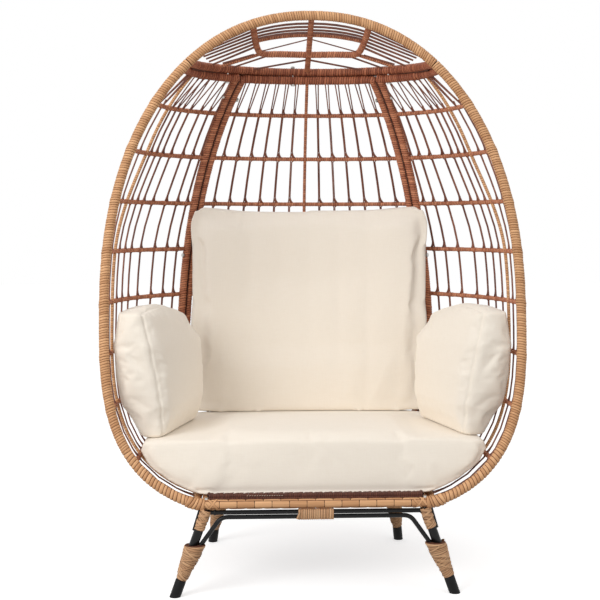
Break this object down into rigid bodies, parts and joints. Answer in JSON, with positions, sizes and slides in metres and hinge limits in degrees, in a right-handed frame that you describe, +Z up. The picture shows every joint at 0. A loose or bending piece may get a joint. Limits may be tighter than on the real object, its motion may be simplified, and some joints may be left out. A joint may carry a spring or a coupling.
{
  "type": "egg chair",
  "caption": "Egg-shaped lounge chair with an open woven-rod cage of bolted panels, four splayed tube legs and loose seat, back and arm cushions.",
  "frame": {"origin": "on the floor under the middle of the chair's overall box", "axes": "+Z up; the open mouth faces -Y; +X to the viewer's right when looking into the mouth"},
  "size_m": [1.099, 0.6808, 1.5023],
  "materials": {
    "wicker": "satin wrapped strip",
    "pale_wicker": "satin wrapped strip",
    "dark_weave": "woven strip",
    "black_steel": "satin black powder coat",
    "black_rubber": "matte",
    "cream_fabric": "plain weave"
  },
  "bodies": {
    "root": {"roof_panel": "wicker", "back_panel": "wicker", "side_panel_left": "wicker", "side_panel_right": "wicker", "seat_frame": "wicker", "seat_deck": "dark_weave", "front_leg_frame": "black_steel", "front_bar_binding": "pale_wicker", "front_foot_cap_left": "black_rubber", "front_lower_binding_left": "pale_wicker", "front_upper_binding_left": "pale_wicker", "front_foot_cap_right": "black_rubber", "front_lower_binding_right": "pale_wicker", "front_upper_binding_right": "pale_wicker", "rear_leg_frame": "black_steel", "rear_bar_binding": "pale_wicker", "rear_foot_cap_left": "black_rubber", "rear_lower_binding_left": "pale_wicker", "rear_upper_binding_left": "pale_wicker", "rear_foot_cap_right": "black_rubber", "rear_lower_binding_right": "pale_wicker", "rear_upper_binding_right": "pale_wicker", "seat_cushion": "cream_fabric", "back_cushion": "cream_fabric", "arm_cushion_left": "cream_fabric", "arm_cushion_right": "cream_fabric", "back_bolt_top_left": "black_steel", "back_bolt_middle_left": "black_steel", "back_bolt_low_left": "black_steel", "seat_bolt_front_left": "black_steel", "seat_bolt_rear_left": "black_steel", "leg_bolt_front_left": "black_steel", "leg_bolt_rear_left": "black_steel", "back_bolt_top_right": "black_steel", "back_bolt_middle_right": "black_steel", "back_bolt_low_right": "black_steel", "seat_bolt_front_right": "black_steel", "seat_bolt_rear_right": "black_steel", "leg_bolt_front_right": "black_steel", "leg_bolt_rear_right": "black_steel", "roof_bolt_left": "black_steel", "roof_bolt_middle": "black_steel", "roof_bolt_right": "black_steel"}
  },
  "joints": []
}
